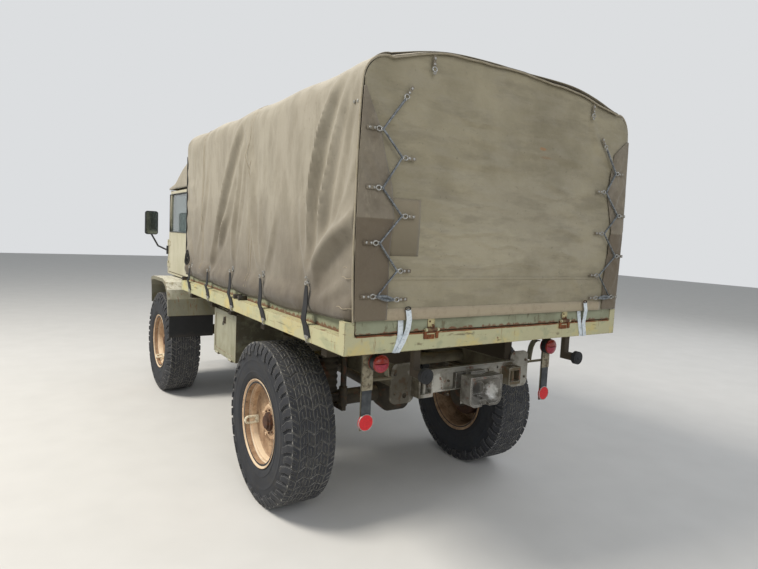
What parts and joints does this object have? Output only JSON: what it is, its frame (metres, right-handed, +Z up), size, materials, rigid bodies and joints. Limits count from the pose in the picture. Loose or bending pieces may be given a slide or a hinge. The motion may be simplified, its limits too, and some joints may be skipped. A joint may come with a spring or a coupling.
{
  "type": "military cargo truck",
  "caption": "Light all-wheel-drive cargo truck with a two-door cab, a drop-side load bed under a fabric cover, steered front wheels, towing jaw and portal axles.",
  "frame": {"origin": "on the ground, at the centre of the truck's box", "axes": "+X to the truck's left, +Y to its rear, +Z up"},
  "size_m": [2.18, 5, 2.657],
  "materials": {
    "canvas": "woven coated canvas",
    "rope": "rubber rope",
    "webbing": "woven webbing",
    "tyre": "dusty rubber",
    "rubber": "matt rubber",
    "rim_paint": "tan paint, worn",
    "chassis_paint": "weathered paint",
    "axle_paint": "dusty paint with rust",
    "green_paint": "pale green paint",
    "bed_paint": "scratched cream-green paint",
    "cab_paint": "faded green paint",
    "cast_steel": "worn grey castings",
    "lamp_plastic": "lamp lens",
    "red_plastic": "reflector",
    "glass": "flat glass",
    "glass_lamp": "fluted lamp glass",
    "vinyl": "dark vinyl",
    "black_plastic": "black"
  },
  "bodies": {
    "root": {"frame_rails": "chassis_paint", "frame_crossmembers": "chassis_paint", "rear_crossmember": "chassis_paint", "towing_jaw": "cast_steel", "engine_block": "cast_steel", "front_axle": "axle_paint", "rear_axle": "axle_paint", "springs_and_dampers": "axle_paint", "exhaust": "cast_steel", "fuel_tank": "green_paint", "stowage_box": "green_paint", "bed_floor": "bed_paint", "bed_boards": "bed_paint", "cover_bows": "green_paint", "load_cover": "canvas", "rear_curtain": "canvas", "rear_lacing": "rope", "webbing_straps": "webbing", "side_straps": "rubber", "tail_lamps": "lamp_plastic", "reflector_hangers": "green_paint", "reflectors": "red_plastic", "tailgate_buffers": "rubber", "cab_body": "cab_paint", "windscreen_frame": "cab_paint", "windscreen_glass": "glass", "cab_soft_top": "canvas", "seat_bases": "green_paint", "seat_cushions": "vinyl", "dashboard": "cab_paint", "steering_wheel": "black_plastic", "fenders": "green_paint", "mud_flaps": "rubber", "front_panel": "cab_paint", "headlamps": "glass_lamp", "front_bumper": "chassis_paint", "mirrors": "black_plastic"},
    "knuckle_left": {"knuckle_left": "axle_paint"},
    "knuckle_right": {"knuckle_right": "axle_paint"},
    "door_left": {"door_left": "cab_paint", "door_glass_left": "glass"},
    "door_right": {"door_right": "cab_paint", "door_glass_right": "glass"},
    "bonnet": {"bonnet": "cab_paint"},
    "tailgate": {"tailgate": "bed_paint"},
    "stowage_box_door": {"stowage_box_door": "green_paint"},
    "wheel_front_left": {"rim_front_left": "rim_paint", "tyre_front_left": "tyre"},
    "wheel_front_right": {"rim_front_right": "rim_paint", "tyre_front_right": "tyre"},
    "wheel_rear_left": {"rim_rear_left": "rim_paint", "tyre_rear_left": "tyre"},
    "wheel_rear_right": {"rim_rear_right": "rim_paint", "tyre_rear_right": "tyre"}
  },
  "joints": [
    {"name": "steer_left", "type": "hinge", "parent": "root", "child": "knuckle_left", "pos_m": [0.66, -1.6, 0.6], "axis": [0, 0, 1], "range_deg": [-28, 28]},
    {"name": "steer_right", "type": "hinge", "parent": "root", "child": "knuckle_right", "pos_m": [-0.66, -1.6, 0.6], "axis": [0, 0, 1], "range_deg": [-28, 28]},
    {"name": "spin_front_left", "type": "hinge", "parent": "knuckle_left", "child": "wheel_front_left", "pos_m": [0.825, -1.6, 0.52], "axis": [1, 0, 0], "continuous": true},
    {"name": "spin_front_right", "type": "hinge", "parent": "knuckle_right", "child": "wheel_front_right", "pos_m": [-0.825, -1.6, 0.52], "axis": [1, 0, 0], "continuous": true},
    {"name": "spin_rear_left", "type": "hinge", "parent": "root", "child": "wheel_rear_left", "pos_m": [0.825, 1.3, 0.52], "axis": [1, 0, 0], "continuous": true},
    {"name": "spin_rear_right", "type": "hinge", "parent": "root", "child": "wheel_rear_right", "pos_m": [-0.825, 1.3, 0.52], "axis": [1, 0, 0], "continuous": true},
    {"name": "door_left_swing", "type": "hinge", "parent": "root", "child": "door_left", "pos_m": [0.868, -1.711, 1.445], "axis": [0, 0, -1], "range_deg": [0, 70]},
    {"name": "door_right_swing", "type": "hinge", "parent": "root", "child": "door_right", "pos_m": [-0.868, -1.711, 1.445], "axis": [0, 0, 1], "range_deg": [0, 70]},
    {"name": "bonnet_lift", "type": "hinge", "parent": "root", "child": "bonnet", "pos_m": [0, -1.768, 1.584], "axis": [-1, 0, 0], "range_deg": [0, 60]},
    {"name": "tailgate_drop", "type": "hinge", "parent": "root", "child": "tailgate", "pos_m": [0, 2.436, 1.29], "axis": [-1, 0, 0], "range_deg": [0, 162], "deforming": ["rear_curtain", "rear_lacing", "webbing_straps"]},
    {"name": "box_door_drop", "type": "hinge", "parent": "root", "child": "stowage_box_door", "pos_m": [0.9253, 0.43, 0.772], "axis": [0, 1, 0], "range_deg": [0, 90]}
  ],
  "couplings": [
    {"joint": "steer_right", "follows": "steer_left", "ratio": 1}
  ]
}
